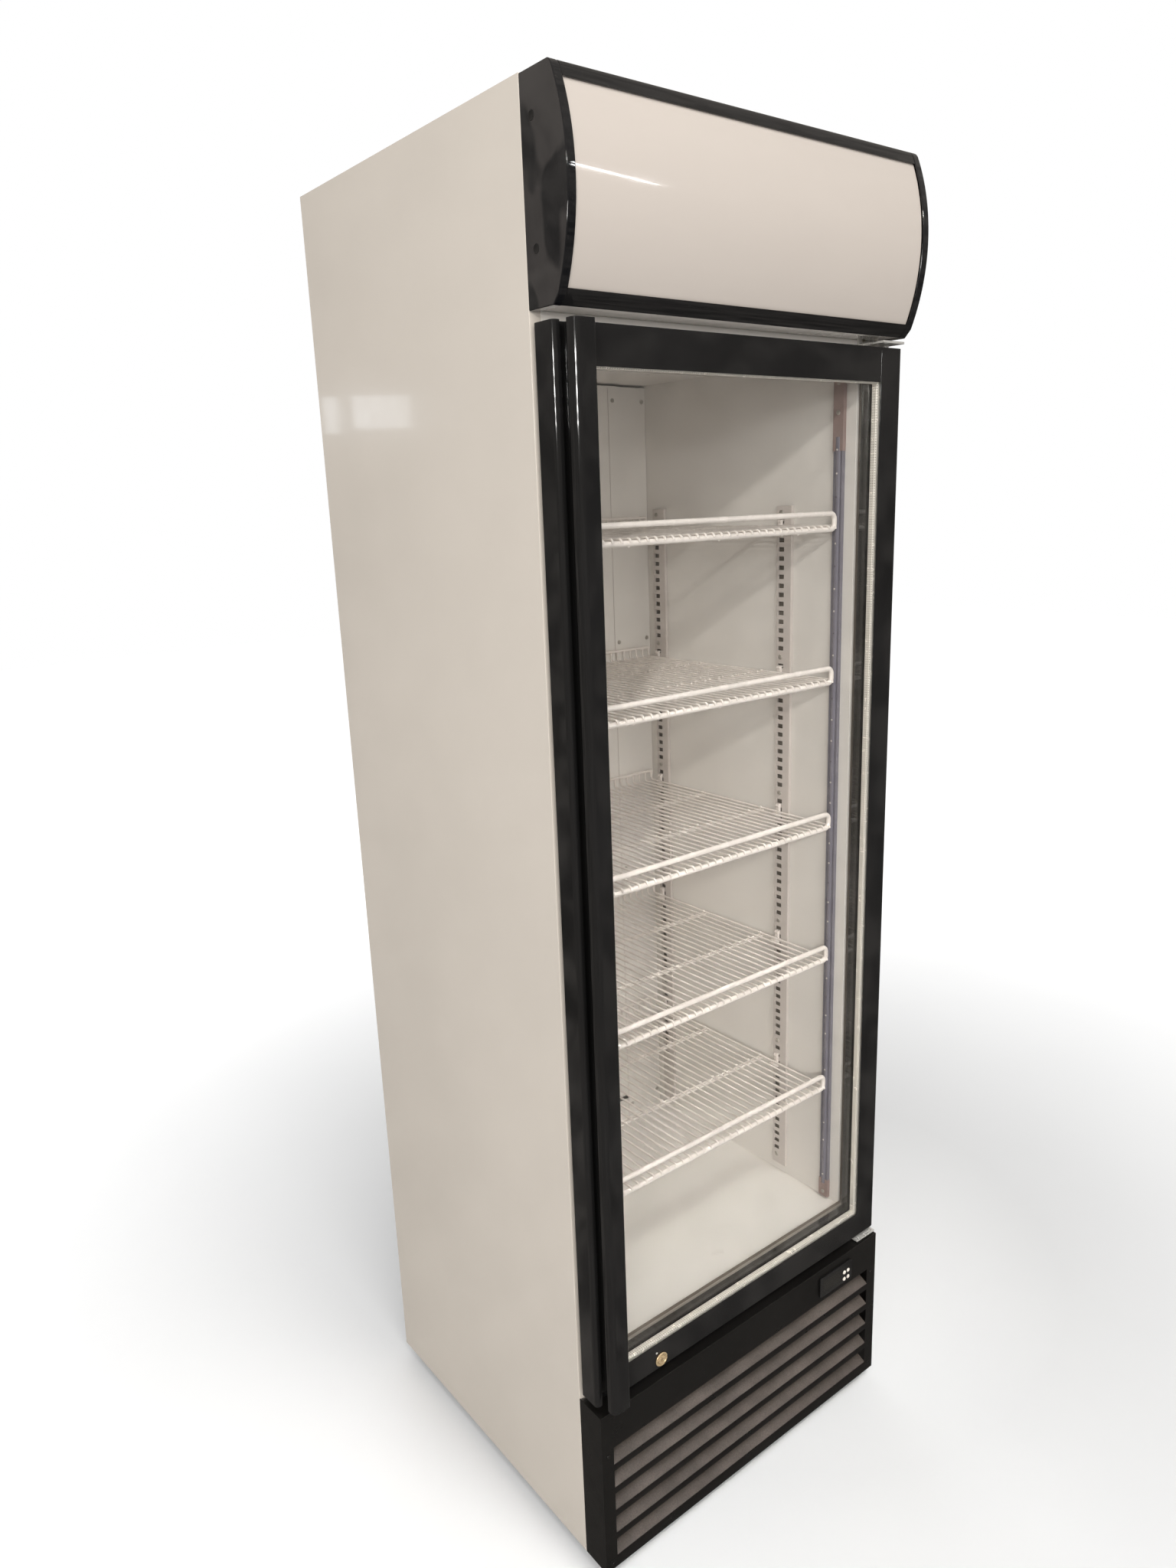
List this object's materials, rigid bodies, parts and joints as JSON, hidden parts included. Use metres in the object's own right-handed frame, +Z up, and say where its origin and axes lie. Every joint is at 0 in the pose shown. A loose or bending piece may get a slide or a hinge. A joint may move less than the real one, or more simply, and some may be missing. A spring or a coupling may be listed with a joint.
{
  "type": "reach in refrigerator",
  "caption": "Upright reach-in refrigerator with a framed glass door, full-height grip, wire shelves, curved canopy and louvred base.",
  "frame": {"origin": "on the floor, under the middle of the bounding box, with every joint at zero", "axes": "+Z up, +X to the right as seen from the front, front of the cabinet towards -Y"},
  "size_m": [0.62, 0.635, 2],
  "materials": {
    "white_paint": "gloss",
    "white_liner": "satin",
    "black_paint": "satin",
    "black_profile": "satin",
    "black_gloss": "gloss",
    "grey_paint": "satin",
    "galvanised": "satin",
    "steel": "satin",
    "aluminium": "satin",
    "copper": "satin",
    "nickel": "polished",
    "clear_glass": "gloss",
    "sign_acrylic": "gloss",
    "lamp": "gloss",
    "gasket_rubber": "matte",
    "foam": "matte",
    "wire_coating": "satin",
    "led_strip": "satin",
    "button_white": "satin",
    "foot_plastic": "matte"
  },
  "bodies": {
    "cabinet": {"side_panel_left": "white_paint", "side_panel_right": "white_paint", "top_panel": "white_paint", "canopy_light_box": "white_paint", "inner_liner": "white_liner", "duct_cover": "white_liner", "back_panel": "galvanised", "base_tray": "galvanised", "rear_vent_cover": "galvanised", "condenser_fan_shroud": "galvanised", "foam_insulation": "foam", "front_grille": "black_paint", "drain_pan": "black_paint", "condenser_fan_motor": "black_paint", "evaporator_fan_motor": "black_paint", "power_inlet": "black_paint", "controller_bezel": "black_gloss", "compressor": "black_gloss", "canopy_end_cap_left": "black_gloss", "canopy_end_cap_right": "black_gloss", "condenser_coil": "copper", "suction_pipe": "copper", "evaporator_coil": "aluminium", "pilaster_front_left": "grey_paint", "pilaster_front_right": "grey_paint", "pilaster_rear_left": "grey_paint", "pilaster_rear_right": "grey_paint", "led_strip": "led_strip", "canopy_top_rail": "black_profile", "canopy_bottom_rail": "black_profile", "canopy_sign_panel": "sign_acrylic", "canopy_lamp": "lamp", "hinge_bracket_top": "steel", "hinge_bracket_bottom": "steel"},
    "door": {"door_stile_left": "black_profile", "door_stile_right": "black_profile", "door_rail_top": "black_profile", "door_rail_bottom": "black_profile", "door_handle": "black_profile", "outer_glass": "clear_glass", "inner_glass": "clear_glass", "glass_spacer": "aluminium", "door_gasket": "gasket_rubber", "lock_housing": "nickel"},
    "lock": {"lock_plug": "nickel"},
    "condenser_fan": {"condenser_fan_blade": "black_paint"},
    "evaporator_fan": {"evaporator_fan_blade": "black_paint"},
    "button_1": {"button_1": "button_white"},
    "button_2": {"button_2": "button_white"},
    "button_3": {"button_3": "button_white"},
    "button_4": {"button_4": "button_white"},
    "shelf_1": {"shelf_1": "wire_coating"},
    "shelf_2": {"shelf_2": "wire_coating"},
    "shelf_3": {"shelf_3": "wire_coating"},
    "shelf_4": {"shelf_4": "wire_coating"},
    "shelf_5": {"shelf_5": "wire_coating"},
    "foot_front_left": {"foot_front_left": "foot_plastic"},
    "foot_front_right": {"foot_front_right": "foot_plastic"},
    "foot_rear_left": {"foot_rear_left": "foot_plastic"},
    "foot_rear_right": {"foot_rear_right": "foot_plastic"}
  },
  "joints": [
    {"name": "door_hinge", "type": "hinge", "parent": "cabinet", "child": "door", "pos_m": [0.293, -0.2645, 0.3115], "axis": [0, 0, 1], "range_deg": [0, 110]},
    {"name": "lock_turn", "type": "hinge", "parent": "door", "child": "lock", "pos_m": [-0.188, -0.2635, 0.325], "axis": [0, 1, 0], "range_deg": [0, 90]},
    {"name": "condenser_fan_spin", "type": "hinge", "parent": "cabinet", "child": "condenser_fan", "pos_m": [-0.1, -0.1465, 0.16], "axis": [0, 1, 0], "continuous": true},
    {"name": "evaporator_fan_spin", "type": "hinge", "parent": "cabinet", "child": "evaporator_fan", "pos_m": [0, 0.2315, 1.665], "axis": [0, 1, 0], "continuous": true},
    {"name": "button_1_press", "type": "slide", "parent": "cabinet", "child": "button_1", "axis": [0, 1, 0], "range_m": [0, 0.001], "stiffness_N_per_m": 600},
    {"name": "button_2_press", "type": "slide", "parent": "cabinet", "child": "button_2", "axis": [0, 1, 0], "range_m": [0, 0.001], "stiffness_N_per_m": 600},
    {"name": "button_3_press", "type": "slide", "parent": "cabinet", "child": "button_3", "axis": [0, 1, 0], "range_m": [0, 0.001], "stiffness_N_per_m": 600},
    {"name": "button_4_press", "type": "slide", "parent": "cabinet", "child": "button_4", "axis": [0, 1, 0], "range_m": [0, 0.001], "stiffness_N_per_m": 600},
    {"name": "shelf_1_lift", "type": "slide", "parent": "cabinet", "child": "shelf_1", "axis": [0, 0, 1], "range_m": [0, 0.02]},
    {"name": "shelf_2_lift", "type": "slide", "parent": "cabinet", "child": "shelf_2", "axis": [0, 0, 1], "range_m": [0, 0.02]},
    {"name": "shelf_3_lift", "type": "slide", "parent": "cabinet", "child": "shelf_3", "axis": [0, 0, 1], "range_m": [0, 0.02]},
    {"name": "shelf_4_lift", "type": "slide", "parent": "cabinet", "child": "shelf_4", "axis": [0, 0, 1], "range_m": [0, 0.02]},
    {"name": "shelf_5_lift", "type": "slide", "parent": "cabinet", "child": "shelf_5", "axis": [0, 0, 1], "range_m": [0, 0.02]},
    {"name": "foot_front_left_screw_out", "type": "slide", "parent": "cabinet", "child": "foot_front_left", "axis": [0, 0, -1], "range_m": [0, 0.012]},
    {"name": "foot_front_right_screw_out", "type": "slide", "parent": "cabinet", "child": "foot_front_right", "axis": [0, 0, -1], "range_m": [0, 0.012]},
    {"name": "foot_rear_left_screw_out", "type": "slide", "parent": "cabinet", "child": "foot_rear_left", "axis": [0, 0, -1], "range_m": [0, 0.012]},
    {"name": "foot_rear_right_screw_out", "type": "slide", "parent": "cabinet", "child": "foot_rear_right", "axis": [0, 0, -1], "range_m": [0, 0.012]}
  ]
}
